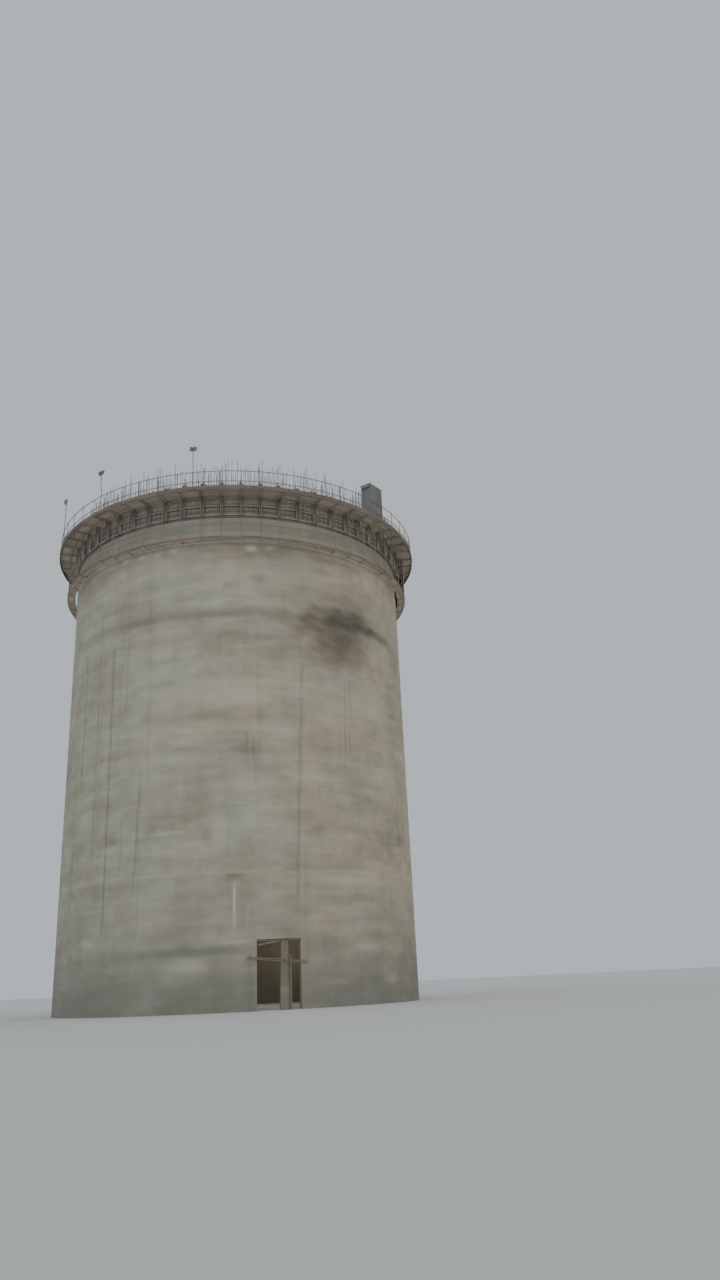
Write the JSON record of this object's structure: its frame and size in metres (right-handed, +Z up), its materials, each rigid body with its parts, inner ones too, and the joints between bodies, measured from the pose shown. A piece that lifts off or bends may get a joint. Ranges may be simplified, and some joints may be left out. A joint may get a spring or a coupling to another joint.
{
  "type": "concrete silo under construction",
  "caption": "Round slip-formed concrete silo shell with a doorway at its foot, topped by climbing forms, timber decks, hanging scaffolds, guard rails, floodlight masts and a deck cabin.",
  "frame": {"origin": "centre of the round shell on the ground", "axes": "+Z up along the shell's axis, -Y out through the middle of the doorway, +X to the right seen from outside the doorway"},
  "size_m": [29.2326, 29.2326, 39.1],
  "materials": {
    "concrete": "slip-formed concrete with rub marks, lift lines, streaks and damp patches",
    "form_steel": "steel form sheets, dull with dried cement",
    "frame_steel": "dark worn paint with cement splashes",
    "deck_timber": "weathered brown construction timber",
    "rail_steel": "dull zinc-coated tube",
    "cabin_sheet": "grey painted sheet, dusty",
    "prop_timber": "rough yellowish sawn timber"
  },
  "bodies": {
    "root": {"wall_panel_1": "concrete", "wall_panel_2": "concrete", "wall_panel_3": "concrete", "wall_panel_4": "concrete", "wall_panel_5": "concrete", "wall_panel_6": "concrete", "wall_panel_7": "concrete", "wall_panel_8": "concrete", "wall_panel_9": "concrete", "wall_over_door": "concrete", "outer_form_front": "form_steel", "outer_form_back": "form_steel", "inner_form_front": "form_steel", "inner_form_back": "form_steel", "yokes_front": "frame_steel", "yokes_right": "frame_steel", "yokes_back": "frame_steel", "yokes_left": "frame_steel", "outer_deck_front": "deck_timber", "outer_deck_back": "deck_timber", "inner_deck_front": "deck_timber", "inner_deck_back": "deck_timber", "outer_guard_rail_front": "rail_steel", "outer_guard_rail_back": "rail_steel", "inner_guard_rail_front": "rail_steel", "inner_guard_rail_back": "rail_steel", "outer_walkway_front": "deck_timber", "outer_walkway_back": "deck_timber", "inner_walkway_front": "deck_timber", "inner_walkway_back": "deck_timber", "outer_hangers_front": "rail_steel", "outer_hangers_right": "rail_steel", "outer_hangers_back": "rail_steel", "outer_hangers_left": "rail_steel", "inner_hangers_front": "rail_steel", "inner_hangers_back": "rail_steel", "scaffold_boarding": "deck_timber", "floodlight_mast_1": "rail_steel", "floodlight_mast_2": "rail_steel", "floodlight_mast_3": "rail_steel", "cabin_body": "cabin_sheet", "cabin_roof": "cabin_sheet", "doorway_pier": "concrete", "doorway_head_boards": "prop_timber", "doorway_crossbar": "rail_steel", "doorway_standard": "rail_steel", "doorway_prop": "prop_timber"}
  },
  "joints": []
}
